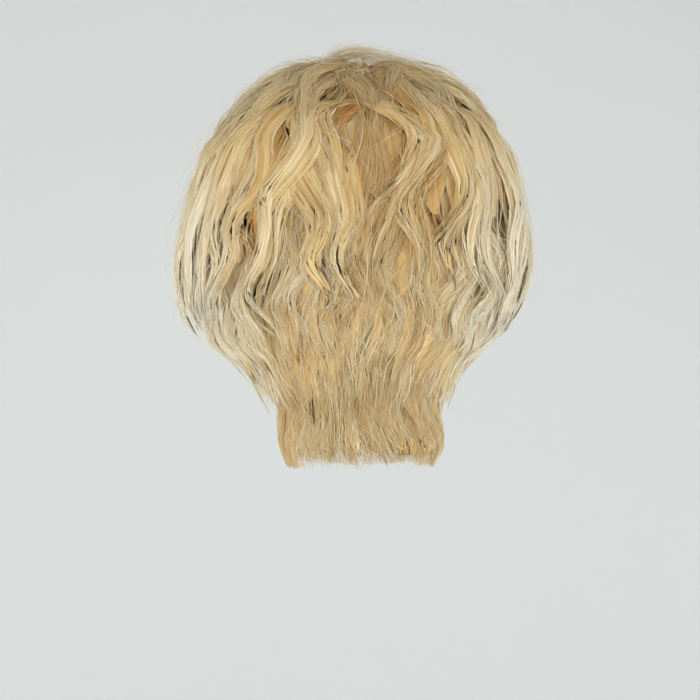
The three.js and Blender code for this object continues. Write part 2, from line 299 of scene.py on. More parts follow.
# %% Describe the head and the outside of the hair
RING_COLUMNS = ("drop", "left", "right", "back", "front")
HEAD_RINGS = np.array([
    (0.000, 0.000, 0.000, 0.000, 0.000),
    (0.006, 0.026, 0.026, 0.033, 0.031),
    (0.026, 0.051, 0.051, 0.064, 0.061),
    (0.058, 0.069, 0.069, 0.086, 0.083),
    (0.100, 0.076, 0.076, 0.095, 0.092),
    (0.132, 0.073, 0.073, 0.091, 0.092),
    (0.160, 0.066, 0.066, 0.079, 0.086),
    (0.187, 0.056, 0.056, 0.062, 0.070),
    (0.216, 0.048, 0.048, 0.049, 0.052),
    (0.256, 0.045, 0.045, 0.044, 0.045),
])
HAIR_RINGS = np.array([
    (-0.022, 0.000, 0.000, 0.000, 0.000),
    (-0.013, 0.050, 0.048, 0.052, 0.044),
    (0.008, 0.085, 0.082, 0.087, 0.077),
    (0.042, 0.111, 0.104, 0.114, 0.098),
    (0.090, 0.124, 0.117, 0.128, 0.109),
    (0.130, 0.129, 0.117, 0.126, 0.106),
    (0.164, 0.118, 0.100, 0.110, 0.098),
    (0.191, 0.083, 0.072, 0.086, 0.082),
    (0.222, 0.062, 0.058, 0.066, 0.062),
    (0.256, 0.057, 0.059, 0.058, 0.056),
])


def column(rings, name, ring):
    """One column of a table at any ring, on a smooth curve that is mirrored beyond the crown."""
    values = rings[:, RING_COLUMNS.index(name)]
    mirrored = values[1] if name == "drop" else -values[1]
    padded = np.concatenate([[mirrored], values, [values[-1]]])
    row = np.clip(np.floor(ring).astype(int), 0, len(values) - 2)
    t = ring - row
    before, start, end, after = (padded[row + step] for step in range(4))
    slope = (end - before) / 2
    next_slope = (after - start) / 2
    cubic = 2 * (start - end) + slope + next_slope
    square = 3 * (end - start) - 2 * slope - next_slope
    return ((cubic * t + square) * t + slope) * t + start


def form_point(rings, angle, ring):
    side = np.sin(np.radians(angle))
    back = np.cos(np.radians(angle))
    width = np.where(side > 0, column(rings, "left", ring), column(rings, "right", ring))
    depth = np.where(back > 0, column(rings, "back", ring), column(rings, "front", ring))
    return np.stack([side * width, back * depth, -column(rings, "drop", ring)], axis=-1)


def outward(angle, ring):
    """The direction from the head to the outside of the hair, and the distance."""
    step = form_point(HAIR_RINGS, angle, ring) - form_point(HEAD_RINGS, angle, ring)
    length = np.linalg.norm(step, axis=-1)
    return step / length[..., None], length


def lifted_point(angle, ring, lift):
    direction, _ = outward(angle, ring)
    return form_point(HEAD_RINGS, angle, ring) + direction * np.asarray(lift)[..., None]


def reach(angle, ring):
    """How far the outside of the hair is from the upright line through the crown."""
    point = form_point(HAIR_RINGS, angle, ring)
    return np.hypot(point[..., 0], point[..., 1])


print("hair at its thickest:", round(1000 * outward(np.array(90.0), np.array(5.0))[1].item()), "mm")

# %% [markdown]
# ## The rows and their room
# The rows lie over each other like the tiles of a roof. Where several rows pass the same ring they
# share the thickness of the hair, the nape's row innermost and the top's outermost. The share of a row
# grows from its sewn edge and fades towards its tips.

# %% Share the hair's thickness between the rows
CAP_WALL = 0.0015
CAP_GAP = 0.0012  # between the cap and the hair
CLEARANCE = 0.0005  # kept free on each side of a row
ROW_STEP = 0.5  # in rings: the rows hand thickness to each other in steps of this
SEWN_EDGE = 0.15  # how much of a row is there already at its sewn edge

# Root, strip_end, tip and end_tip are rings; middle, span and bare are degrees round the head.
Row = namedtuple("Row", "name root strip_end tip end_tip middle span bare")
ROWS = (
    Row("nape_weft", 6, 8.5, 9, 8.9, 0, 120, 0),
    Row("low_back_weft", 5, 7, 8.5, 8, 0, 168, 0),
    Row("ear_to_ear_weft", 4, 6, 7.5, 6.9, 0, 210, 0),
    Row("fringe_weft", 2.5, 3.5, 4.5, 4.5, 180, 105, 0),
    Row("upper_weft", 3, 5.5, 6.5, 6.4, 0, 240, 0),
    Row("crown_weft", 1.5, 4, 6.4, 5, 0, 360, 60),
    Row("top_hair", 0, 2, 3, 3, 0, 360, 0),
)

STEP_RINGS = np.arange(0, len(HEAD_RINGS) + ROW_STEP, ROW_STEP)


def presence(row, ring):
    grown = SEWN_EDGE + (1 - SEWN_EDGE) * np.clip((ring - row.root) / ROW_STEP, 0, 1)
    return np.where(ring < row.root, 0, grown * np.clip(row.tip - ring, 0, 1))


held = np.array([presence(row, STEP_RINGS) for row in ROWS])
whole = np.where(held.sum(axis=0) > 0, held.sum(axis=0), 1)
SHARE_TO = np.cumsum(held, axis=0) / whole
SHARE_FROM = SHARE_TO - held / whole


def room_for(row, angle, ring):
    """The distance from the head where a row's hair begins, and the thickness that it may fill."""
    depth = outward(angle, ring)[1] - CAP_WALL - CAP_GAP
    index = ROWS.index(row)
    begin = depth * np.interp(ring, STEP_RINGS, SHARE_FROM[index]) + CLEARANCE
    end = depth * np.interp(ring, STEP_RINGS, SHARE_TO[index]) - CLEARANCE
    return CAP_WALL + CAP_GAP + begin, np.maximum(end - begin, 0)


print("rows:", ", ".join(row.name for row in ROWS))

# %% [markdown]
# ## Which locks there are
# Every row has its own style: how many locks hang from it, how wide they are and how they wave. The
# locks at the back of the crown curl round each other, so each of them has a name and a list of the
# bends that it takes. Loose fibres spread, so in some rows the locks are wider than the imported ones.

# %% List the locks
# Width is a lock's half width and sway its swing, in metres; ragged is in rings.
Style = namedtuple("Style", "locks width sway waves ragged fan")
STYLES = {
    "nape_weft": Style(9, 0.0135, 0.002, 0.5, 0.2, 0.4),
    "low_back_weft": Style(11, 0.018, 0.002, 0.8, 0.6, 0),
    "ear_to_ear_weft": Style(13, 0.018, 0.004, 1.2, 0.8, 0),
    "fringe_weft": Style(7, 0.016, 0.004, 0.7, 0.4, 0),
    "upper_weft": Style(14, 0.019, 0.008, 1.7, 0.7, 0),
    "crown_weft": Style(12, 0.017, 0.008, 1.4, 0.5, 0),
    "top_hair": Style(15, 0.019, 0.006, 1.2, 0.6, 0),
}

WIDER = {"nape_weft": 1.2, "crown_weft": 1.4, "fringe_weft": 1.2, "top_hair": 1.1}

CROWN_LOCKS = {  # ring and angle of each bend
    "left_side": ((2, 46), (3, 51), (3.9, 58), (4.7, 55), (5.6, 62)),
    "left_wave": ((2, 36), (3, 33), (3.6, 35), (4.1, 43), (4.6, 42), (5.5, 56)),
    "left_curl": ((2, 24), (3.4, 22), (3.9, 32), (4.7, 31), (5.4, 37), (6, 32)),
    "long_s": ((1.9, -6), (2.4, 22), (3.1, 25), (4.1, 13), (4.8, 16), (5.4, 10), (5.9, 15)),
    "middle_curl": ((2.1, 3), (2.6, 13), (3.4, 6), (4.1, 3), (4.7, 8), (5.4, 0)),
    "middle_sweep": ((2.2, -8), (3, -24), (3.6, -11), (4.3, -5), (5.3, -2)),
    "right_sweep": ((2.2, -21), (3.1, -31), (3.8, -17), (4.5, -21), (5.4, -24)),
    "right_curl": ((2.2, -33), (3.2, -38), (3.7, -39), (4.3, -29), (5.2, -35)),
    "right_wave": ((2, -45), (3.5, -47), (4.2, -42), (4.8, -46), (5.4, -56)),
}

print("named locks:", ", ".join(CROWN_LOCKS))

# %% [markdown]
# ## The course of a lock
# The other locks hang at even places along their row, each with its own sway, level and tip. Both kinds
# end up as one small table, the angle of the lock's middle at each ring. Chance comes from a formula,
# so the locks are the same every time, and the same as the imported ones.

# %% Lay out the locks
LOCK_JITTER = 0.3
PHASE_SHIFT = 0.2  # turns by which the waves shift from one lock to the next
PHASE_JITTER = 0.3
SWAY_LENGTH = 0.4  # share of its length over which a lock's waves reach their full swing
FAN_START = 0.4  # share of its length after which the tips spread
LEVELS = (0, 0.5, 1)  # how far out in their row the named locks lie, by turns
COURSE_STEPS = 60

Lock = namedtuple("Lock", "tip level wide rings angles")


def chance(first, second):
    """A repeatable number from 0 to 1 for a pair of counts."""
    return math.sin(first * 12.9898 + second * 78.233) * 43758.5453 % 1


def smooth(t):
    t = np.clip(t, 0, 1)
    return t * t * (3 - 2 * t)


def even_lock(row, number):
    style = STYLES[row.name]
    luck = [chance(10 * ROWS.index(row) + n, number + 1) for n in range(5)]
    place = (number + 0.5 + LOCK_JITTER * (luck[1] - 0.5)) / style.locks - 0.5
    home = (row.span - 2 * row.bare) * place + math.copysign(row.bare, place)
    tip = row.tip + (row.end_tip - row.tip) * 4 * place**2 - style.ragged * luck[2]
    rings = np.linspace(row.root, tip, COURSE_STEPS)
    along = (rings - row.root) / (tip - row.root)
    turns = PHASE_SHIFT * number + PHASE_JITTER * luck[3] + style.waves * along
    swing = style.sway * smooth(along / SWAY_LENGTH) * np.sin(2 * math.pi * turns)
    spread = 1 + style.fan * smooth((along - FAN_START) / (1 - FAN_START))
    angle = row.middle + home
    turned = np.degrees(swing / np.maximum(reach(angle, rings), style.width))
    return Lock(tip, luck[4], WIDER.get(row.name, 1), rings, row.middle + home * spread + turned)


def named_lock(row, bends, level):
    """A lock on a smooth curve through its bends."""
    rings, angles = np.array(bends, dtype=float).T
    slopes = np.gradient(angles, rings)
    fine = np.linspace(rings[0], rings[-1], COURSE_STEPS)
    place = np.clip(np.searchsorted(rings, fine, side="right") - 1, 0, len(rings) - 2)
    gap = rings[place + 1] - rings[place]
    t = (fine - rings[place]) / gap
    bent = (1 - smooth(t)) * angles[place] + smooth(t) * angles[place + 1]
    bent += gap * (t * (1 - t) ** 2 * slopes[place] - t**2 * (1 - t) * slopes[place + 1])
    return Lock(rings[-1], level, 1, fine, bent)


def locks_of(row):
    locks = [even_lock(row, number) for number in range(STYLES[row.name].locks)]
    if row.name == "crown_weft":
        for number, bends in enumerate(CROWN_LOCKS.values()):
            locks.append(named_lock(row, bends, LEVELS[number % len(LEVELS)]))
    return locks


print("locks:", {row.name: len(locks_of(row)) for row in ROWS})

# %% [markdown]
# ## Closed bodies from loops
# Both the body of a strand and a single fibre are closed loops of points carried along a course, so one
# function joins the loops into triangles. Thousands of fibres are worked out at once as arrays, because
# an object for every hair would be too slow.

# %% Carry loops of points along courses
SHADE_LIMITS = (0.02, 0.98)  # inside the map

Fibres = namedtuple("Fibres", "points triangles map")


def loft(loops, shade):
    """Closed bodies from loops (bodies x stations x corners x 3), each point with its shade."""
    shade = np.clip(shade, *SHADE_LIMITS)
    count, stations, corners, _ = loops.shape
    along = np.linspace(0, 1, stations)[None, :, None]
    place = np.stack([np.broadcast_to(part, loops.shape[:3]) for part in (shade, along)], axis=-1)
    triangles = loft_triangles(stations, corners)[None]
    triangles = triangles + stations * corners * np.arange(count)[:, None, None]
    return Fibres(loops.reshape(-1, 3), triangles.reshape(-1, 3), place.reshape(-1, 2))


def loft_triangles(stations, corners):
    here = np.arange(stations * corners).reshape(stations, corners)
    next_one = np.roll(here, -1, axis=1)
    a, b, c, d = (grid.ravel() for grid in (here[:-1], next_one[:-1], next_one[1:], here[1:]))
    fan = np.arange(1, corners - 1)
    root = np.stack([0 * fan, fan, fan + 1], axis=1)
    tip = (stations - 1) * corners + np.stack([0 * fan, fan + 1, fan], axis=1)
    return np.concatenate([np.stack([a, c, b], axis=1), np.stack([a, d, c], axis=1), root, tip])


def joined(parts):
    starts = np.cumsum([0] + [len(part.points) for part in parts])
    triangles = [part.triangles + start for part, start in zip(parts, starts)]
    points = np.concatenate([part.points for part in parts])
    return Fibres(points, np.concatenate(triangles), np.concatenate([part.map for part in parts]))


print("triangles in a three-sided tube of 12 loops:", len(loft_triangles(12, 3)))

# %% [markdown]
# ## Room in a lock
# A place in a lock is given by its ring, by how far across the lock it is (1 is the edge) and by how
# high up through the lock's thickness it is (1 is the ridge). The plain locks come to a sharp point.
# Real ones open at the tip, so here they keep most of their width and thickness to the end.

# %% Measure a lock
ROOT_WIDTH = 0.55  # share of its full width that a lock has at its root
WIDTH_GROWTH = 1.8  # how fast it widens from there
TIP_POINT = 4  # how late it narrows again
RISE_LENGTH = 0.35  # share of its length over which it reaches its level
ROOT_RISE = 0.15  # share of its length over which a lock comes out of the mat below it
RIDGE_FILL = 0.75  # share of the row's room that it fills
RIDGE_LEAST = 0.5  # how much of its thickness a lock keeps at its tip
OPEN_TIP = 0.8  # and how much of its width
OPEN_FROM = 0.5  # share of its length from which it stays open
EDGE_DROP = 0.8  # how far a lock's edges lie below its ridge, as a share of its thickness
LEVEL_LEAST = 0.4  # how far out in its row the lowest lock lies
WIDEST = 0.85  # half width of a lock at most, as a share of the locks' spacing


def lock_taper(row, lock, ring):
    along = np.clip((ring - row.root) / (lock.tip - row.root), 0, 1)
    return along, np.minimum(1, ROOT_WIDTH + WIDTH_GROWTH * along) * np.sqrt(1 - along**TIP_POINT)


def lock_middle(lock, ring):
    return np.interp(ring, lock.rings, lock.angles)


def lock_half(row, lock, ring):
    """Half the width of a lock, in degrees."""
    style = STYLES[row.name]
    along, taper = lock_taper(row, lock, ring)
    wide = lock.wide * style.width * np.maximum(taper, np.where(along > OPEN_FROM, OPEN_TIP, 0))
    half = np.degrees(wide / reach(lock_middle(lock, ring), ring))
    return np.minimum(half, WIDEST * row.span / style.locks)


def lock_lift(row, lock, angle, ring, across, height):
    """How far from the head a place in a lock is."""
    along, taper = lock_taper(row, lock, ring)
    begin, free = room_for(row, angle, ring)
    thick = free * RIDGE_FILL * np.maximum(taper, RIDGE_LEAST)
    level = LEVEL_LEAST + (1 - LEVEL_LEAST) * lock.level
    base = begin + (free - thick) * level * smooth(along / RISE_LENGTH)
    risen = smooth(along / ROOT_RISE)
    lift = base + thick * height * (1 - EDGE_DROP * np.clip(across, -1, 1) ** 2) * risen
    return np.maximum(lift, CAP_WALL + CAP_GAP)


crown = ROWS[-2]
long_s = locks_of(crown)[STYLES[crown.name].locks + list(CROWN_LOCKS).index("long_s")]
print("half width of the long lock:", lock_half(crown, long_s, np.array(4.0)).round(1), "degrees")

# %% [markdown]
# ## Strands
# A lock falls into a few strands, and these are what the eye follows. Each strand has its own place
# across the lock, its own level and tip, and a small wave besides the lock's. The numbers of many
# strands are kept together as arrays, so that all of them are worked out at once.

# %% Divide the locks into strands
STRANDS = 4  # in each lock
STRAND_SPREAD = 0.85  # how far across the lock they lie
STRAND_WIDTH = (0.28, 0.46)  # half widths, as a share of the lock's
STRAND_LEVEL = (0.50, 0.78)
STRAND_SWAY = (0.06, 0.26)
STRAND_WAVE = (1.2, 2.1)  # rings in one wave
STRAND_JITTER = 0.35  # how unevenly the strands are spaced
LEVEL_JITTER = 0.06
STRAND_PHASE = 0.2  # turns by which the waves of a lock's strands differ
STRAND_SHADE = 0.04
# painted light and shade: locks and strands further out are painted paler, those further in deeper
LOCK_LEVEL_PAINTED_LIGHTING = 0.08  # locks and strands further out are paler
STRAND_LEVEL_PAINTED_LIGHTING = 0.14
SIDE_FROM = 0.5  # sine of the angle where the sides begin
SIDE_EVEN = 0.7  # how much less the lengths differ at the sides
NAPE_ARCH = 0.25  # rings by which the nape is shorter in the middle
ARCH_ANGLE = 50  # degrees to each side over which it is shorter

Strands = namedtuple("Strands", "place wide level tip sway wave phase shade")

# Fibres of the locks and short ones on the sewn strip, the ring where the row begins to show, how many
# rings the strands reach beyond their lock and end before it, how much they sway, how far the tips sink
# on the row below in metres, how much of their width they keep at the tip, how many rings it is frayed,
# how much paler the row is, what share of the fibres reach the tip, and how unevenly they end, in rings.
Growth = namedtuple(
    "Growth",
    "fibres short shown longer shorter sway settle blunt frayed shade ends uneven",
)
# The top row is a little deeper, as painted shade on the wig's upper part.
GROWTH = {
    "nape_weft": Growth(2700, 80, 7.0, 0.05, 0.1, 0.1, 0.001, 1.0, 0.25, -0.12, 0.8, 0.07),
    "low_back_weft": Growth(2000, 100, 6.0, 0.25, 0.7, 0.3, 0.003, 0.1, 0.6, -0.14, 0.45, 0.2),
    "ear_to_ear_weft": Growth(2200, 100, 5.0, 0.25, 0.8, 0.5, 0.005, 0.1, 0.6, -0.08, 0.45, 0.2),
    "fringe_weft": Growth(900, 120, 2.6, 0.25, 0.5, 0.8, 0.003, 0.1, 0.6, 0.0, 0.45, 0.2),
    "upper_weft": Growth(2300, 200, 3.9, 0.25, 0.9, 1.0, 0.006, 0.1, 0.6, 0.0, 0.45, 0.2),
    "crown_weft": Growth(1850, 450, 1.8, 0.3, 1.0, 1.0, 0.006, 0.1, 0.6, 0.0, 0.45, 0.2),
    "top_hair": Growth(2300, 200, 0.1, 0.8, 0.6, 1.0, 0.007, 0.1, 0.6, -0.02, 0.45, 0.2),
}


def beside(angle):
    """From 0 at the back of the head to 1 at its sides."""
    return smooth((np.abs(np.sin(np.radians(angle))) - SIDE_FROM) / (1 - SIDE_FROM))


def strands_of(row, lock, count, rng):
    growth = GROWTH[row.name]
    shorter = growth.shorter * (1 - SIDE_EVEN * beside(lock.angles[-1]))
    even = (np.arange(count) + 0.5 + rng.uniform(-STRAND_JITTER, STRAND_JITTER, count)) * 2 / count - 1
    level = rng.permutation(np.linspace(*STRAND_LEVEL, count)) + rng.normal(0, LEVEL_JITTER, count)
    # painted light and shade by how far out a lock and a strand lie
    shade = growth.shade + LOCK_LEVEL_PAINTED_LIGHTING * (lock.level - 0.5) + STRAND_LEVEL_PAINTED_LIGHTING * (level - 0.5)
    shade = shade + rng.normal(0, STRAND_SHADE, count)
    arch = NAPE_ARCH * max(0, 1 - (lock.angles[-1] / ARCH_ANGLE) ** 2) if row.name == "nape_weft" else 0
    return Strands(
        place=STRAND_SPREAD * even,
        wide=rng.uniform(*STRAND_WIDTH, count),
        level=level,
        tip=lock.tip - arch + rng.uniform(-shorter, growth.longer, count),
        sway=growth.sway * rng.uniform(*STRAND_SWAY, count),
        wave=1 / rng.uniform(*STRAND_WAVE, count),
        phase=rng.random() + rng.normal(0, STRAND_PHASE, count),
        shade=shade,
    )


def picked(strands, index):
    return Strands(*(field[index] for field in strands))


print("strands:", STRANDS * sum(len(locks_of(row)) for row in ROWS))

# %% [markdown]
# ## Hollows and the sweep of the nape
# Between the curls of the crown the hair parts round small hollows, where the hair is painted in the deep
# shades as painted shade. A strand that would cross a hollow is led round it, on the side where it passes
# the middle. At the nape the hair is brushed, so the tips sweep outwards at both corners, and towards the
# wearer's right in between.

# %% Lead strands round the hollows and along the sweep
# Ring and angle of its middle, half its width in degrees and half its height in rings.
Hollow = namedtuple("Hollow", "ring angle wide tall")
HOLLOWS = (
    Hollow(2.54, 4.0, 6.0, 0.50),
    Hollow(3.48, -7.9, 4.5, 0.45),
    Hollow(3.79, -27.5, 3.0, 0.50),
    Hollow(4.18, 36.8, 3.2, 0.45),
    Hollow(2.32, -19.9, 2.4, 0.40),
    Hollow(2.90, 29.3, 2.2, 0.40),
)
# how far a hollow's painted shade reaches
HOLLOW_SPREAD = 1.3  # a hollow's deep shade reaches this many half widths
HOLLOW_ROWS = ("upper_weft", "crown_weft", "top_hair")
SWEEP_ANGLES = (-60, -40, -20, 0, 20, 40, 60)
SWEEP_REACH = (-0.022, -0.032, -0.032, -0.022, -0.008, 0.008, 0.008)  # metres at the tips
SWEEP_START = 0.3  # share of a lock's length
SWAY_FROM = 0.2  # ring where the strands begin to sway
SWAY_RINGS = 1.3  # and rings until they sway fully


def hollow_depth(angle, ring):
    """From 0 outside the hollows to 1 in the middle of one."""
    depth = np.zeros(np.broadcast(angle, ring).shape)
    for hollow in HOLLOWS:
        off = ((angle - hollow.angle + 180) % 360 - 180) / (hollow.wide * HOLLOW_SPREAD)
        depth = np.maximum(depth, np.exp(-(off**2) - ((ring - hollow.ring) / hollow.tall) ** 2))
    return depth


def strand_across(strands, ring):
    swing = np.sin(2 * math.pi * (strands.phase + ring * strands.wave))
    return strands.place + strands.sway * swing * smooth((ring - SWAY_FROM) / SWAY_RINGS)


def strand_course(row, lock, strands, ring):
    return lock_middle(lock, ring) + strand_across(strands, ring) * lock_half(row, lock, ring)


def round_hollows(row, lock, strands, ring, angle):
    """Leads strands of the upper rows round the hollows. What lies under or between them goes straight."""
    if row.name not in HOLLOW_ROWS or strands.wide.min() < STRAND_WIDTH[0] or strands.wide.max() >= 1:
        return angle
    wide = strands.wide * lock_half(row, lock, ring)
    for hollow in HOLLOWS:
        passing = strand_course(row, lock, strands, np.array(hollow.ring)) - hollow.angle
        side = np.where((passing + 180) % 360 < 180, -1, 1)
        off = (angle - hollow.angle + 180) % 360 - 180
        opened = (hollow.wide + wide) * np.exp(-(((ring - hollow.ring) / hollow.tall) ** 2))
        angle = angle + side * (np.hypot(off, opened) - np.abs(off))
    return angle


def swept(row, lock, strands, ring, angle):
    """Sweeps the nape's strands to the side. What is as wide as its lock hangs straight."""
    if row.name != "nape_weft":
        return angle
    along, _ = lock_taper(row, lock, ring)
    shift = np.interp(angle, SWEEP_ANGLES, SWEEP_REACH)
    share = smooth((along - SWEEP_START) / (1 - SWEEP_START)) ** 2
    return angle + (strands.wide < 1) * np.degrees(shift * share / reach(angle, ring))


def strand_middle(row, lock, strands, ring):
    angle = strand_course(row, lock, strands, ring)
    angle = round_hollows(row, lock, strands, ring, angle)
    return swept(row, lock, strands, ring, angle)


print("hollows:", len(HOLLOWS))

# %% [markdown]
# ## The place of a strand
# A strand narrows to its tip and sinks there on the hair below, and each wave lifts it a little. At the
# sides some rows stand out further, and the crown's hair has a shoulder where it comes out from under
# the top's. All of these are small changes of one number, the lift off the head.

# %% Place the strands
CURL_LIFT = 0.0012  # how far a wave lifts a strand off the head
CURL_GROWTH = 3  # it does so fully after a third of the strand
STRAND_POINT = 3  # how late a strand narrows
SIDE_BLUNT = 0.5  # how much of their width the strands keep at the tip at the sides
SIDE_LIFT = {"upper_weft": 0.68, "ear_to_ear_weft": 0.3}  # how far these rows stand out at the sides
SIDE_REACH = 0.85  # share of the whole depth of hair that they stand out to
SIDE_START = 0.2  # share of their length where they begin to
SIDE_LENGTH = 0.4  # and over which they get there
SHOULDER_RING = 2.5  # where the crown's hair comes out from under the top's
SHOULDER_WIDTH = 0.72  # rings
SHOULDER_RISE = 0.78  # how much of the way to the outside it rises there
SHOULDER_REACH = 0.9  # share of the whole depth of hair that counts as the outside


def shouldered(row, angle, ring, lift, rise):
    """Raises the crown's hair where it comes out from under the top's."""
    if row.name != "crown_weft":
        return lift
    share = rise * np.exp(-(((ring - SHOULDER_RING) / SHOULDER_WIDTH) ** 2))
    return lift + share * (SHOULDER_REACH * outward(angle, ring)[1] - lift)


def strand_place(row, lock, strands, ring, own, height, least):
    """The angle and the lift of places in strands. Own is how far across its strand a place is, and
    least is the share of its width that it keeps at the tip."""
    along = np.clip((ring - row.root) / (strands.tip - row.root), 0, 1)
    aside = beside(lock_middle(lock, ring))
    kept = np.maximum(least, SIDE_BLUNT * aside)
    wide = strands.wide * np.maximum(np.sqrt(1 - along**STRAND_POINT), kept)
    angle = strand_middle(row, lock, strands, ring) + own * wide * lock_half(row, lock, ring)
    across = strand_across(strands, ring) + own * wide
    lift = lock_lift(row, lock, angle, ring, across, strands.level + height)
    curl = np.cos(2 * math.pi * (strands.phase + ring * strands.wave))
    lift = shouldered(row, angle, ring, lift, SHOULDER_RISE)
    settled = GROWTH[row.name].settle * (1 - aside * (row.root > 0)) * smooth(2 * along - 1)
    spread = SIDE_LIFT.get(row.name, 0) * aside * smooth((along - SIDE_START) / SIDE_LENGTH)
    lift = lift + spread * (SIDE_REACH * outward(angle, ring)[1] - lift)
    lift = lift + CURL_LIFT * smooth(CURL_GROWTH * along) * (1 + curl) - settled
    return angle, np.maximum(lift, CAP_WALL + CAP_GAP)


print("the shoulder stands at ring", SHOULDER_RING)

# %% [markdown]
# ## Painted light and shade round the wig
# The wig is painted paler on its sides, as painted light, and a little deeper on its upper part, as
# painted shade. One function gives the difference for any place, and the strips, bodies and fibres add
# it to their own shade.

# %% Paint light on the sides and shade on the upper part
SHADE_MIDDLE = 0.56
# painted light: the sides of the wig are painted paler
SIDE_PAINTED_LIGHT = 0.33  # the sides of the wig are paler
PALE_START = 2.6  # from this ring
PALE_RINGS = 1.6  # fully after so many more
PALE_END = 8  # and to this one
PALE_FADE = 1.5
# painted shade: the wig's upper part is painted deeper
UPPER_PAINTED_SHADE = 0.02  # the wig's upper part is deeper
UPPER_FADE = 2.0


def painted_light_and_shade(angle, ring):
    above = UPPER_PAINTED_SHADE * (1 - smooth((ring - PALE_START) / UPPER_FADE))
    paler = SIDE_PAINTED_LIGHT * beside(angle) * smooth((ring - PALE_START) / PALE_RINGS)
    return paler * smooth((PALE_END - ring) / PALE_FADE) - above


print("paler at the sides by", SIDE_PAINTED_LIGHT)

# %% [markdown]
# ## The body of a strand
# Most of a strand's fibres lie inside it and never show one by one. A closed body with a finely grooved
# upper side stands for them, and each groove has a shade of its own. At the tip the grooves end
# unevenly, as cut hair does.

# %% Build the bodies of the strands
GROOVES = 13
BODY_STATIONS = {"crown_weft": 22}  # the long curls need more than the others
FEWER_STATIONS = 14
BODY_ARCH = 0.15  # height of the rounded upper side, as a share of the lock's thickness
BODY_UNDER = -0.2
BODY_ROOT = 0.08  # rings below the row's root where a body begins
BODY_EDGE = 0.9  # half width of the grooved side
BODY_FLATTER = 0.9  # how much of the arch is gone at the tip
GROOVE_DEPTH = 0.0003
GROOVE_WANDER = 0.08  # in half widths
GROOVE_WAVES = (0.4, 0.9)  # in a ring
# painted shade: the bodies lie under their fibres and are painted deeper
BODY_PAINTED_SHADE = 0.12
GROOVE_SHADE = 0.15


def grooved(row, lock, strands, grooves, arch, under, painted_shade, rng):
    """Bodies with a grooved upper side. The last course of each is its underside."""
    growth = GROWTH[row.name]
    each = Strands(*(field[:, None, None] for field in strands))
    own = np.append(np.linspace(BODY_EDGE, -BODY_EDGE, grooves), 0)
    height = np.append(arch * (1 - own[:-1] ** 2), under)
    t = np.linspace(0, 1, BODY_STATIONS.get(row.name, FEWER_STATIONS))[None, :, None]
    root = row.root + BODY_ROOT
    uneven = (len(strands.place), 1, grooves + 1)
    ring = root + (each.tip - growth.frayed * rng.random(uneven) - root) * t
    turns = rng.random(uneven) + ring * rng.uniform(*GROOVE_WAVES, uneven)
    wander = GROOVE_WANDER * np.sin(2 * math.pi * turns)
    blunt = max(growth.blunt, SIDE_BLUNT * beside(lock.angles[-1]))
    across = (own + wander) * (1 - (1 - blunt) * t**3)
    flatter = height * (1 - BODY_FLATTER * t**4)
    angle, lift = strand_place(row, lock, each, ring, across, flatter, growth.blunt)
    groove = GROOVE_DEPTH * rng.uniform(-1, 1, uneven) * (1 - t**4)
    shade = SHADE_MIDDLE - painted_shade + each.shade + painted_light_and_shade(angle, ring)
    shade = shade + rng.normal(0, GROOVE_SHADE, uneven)
    return angle, ring, lift + groove, shade


def strand_bodies(row, lock, strands, rng):
    form = (GROOVES, BODY_ARCH, BODY_UNDER, BODY_PAINTED_SHADE)
    angle, ring, lift, shade = grooved(row, lock, strands, *form, rng)
    return loft(lifted_point(angle, ring, lift), shade)


print("triangles in a body:", len(loft_triangles(FEWER_STATIONS, GROOVES + 1)))

# %% [markdown]
# ## The hair under the strands
# Under its strands a lock has one wider and lower body of the same kind, so that the strands lie on
# hair. It is painted deeper than the fibres over it, as painted shade, and in the hollows of the crown it
# sinks and is painted deeper still, as painted shade, because little light gets there.

# %% Lay a body under each lock
UNDER_GROOVES = 24
UNDER_LEVEL = 0.45
UNDER_ARCH = 0.1
UNDER_DEPTH = -0.42
UNDER_PAINTED_SHADE = 0.14
UNDER_SHORTER = {"nape_weft": 0.12}  # rings by which it ends before the strands over it
HOLLOW_SINK = 0.003
HOLLOW_PAINTED_SHADE = 0.5


def underlay(row, lock, rng):
    """One wide, low body under a lock's strands."""
    one = strands_of(row, lock, 1, rng)
    flat = one._replace(
        place=0 * one.place,
        wide=1 + 0 * one.wide,
        level=UNDER_LEVEL + 0 * one.level,
        tip=one.tip - UNDER_SHORTER.get(row.name, 0),
        sway=0 * one.sway,
    )
    form = (UNDER_GROOVES, UNDER_ARCH, UNDER_DEPTH, UNDER_PAINTED_SHADE)
    angle, ring, lift, shade = grooved(row, lock, flat, *form, rng)
    # painted shade in the hollows
    if row.name in HOLLOW_ROWS:
        depth = hollow_depth(angle, ring)
        lift = np.maximum(lift - HOLLOW_SINK * depth, CAP_WALL + CAP_GAP)
        shade = shade - HOLLOW_PAINTED_SHADE * depth
    return loft(lifted_point(angle, ring, lift), shade)


print("underlays:", sum(len(locks_of(row)) for row in ROWS))

# %% [markdown]
# ## A single fibre
# A synthetic fibre is one long, even thread. Here it is a fine three-sided tube, a little flattened,
# that thins to its tip. It is made thicker than a real one, because far fewer are grown.

# %% Draw a fibre
FIBRE_FLATTEN = 0.65  # a fibre's thickness as a share of its width
ROOT_THIN = 0.7  # width at the root, as a share of the full width
TIP_THIN = 0.3  # and at the tip
FIBRE_CORNERS = (90, 210, 330)  # degrees round its middle
FIBRE_STATIONS = 8  # loops along it


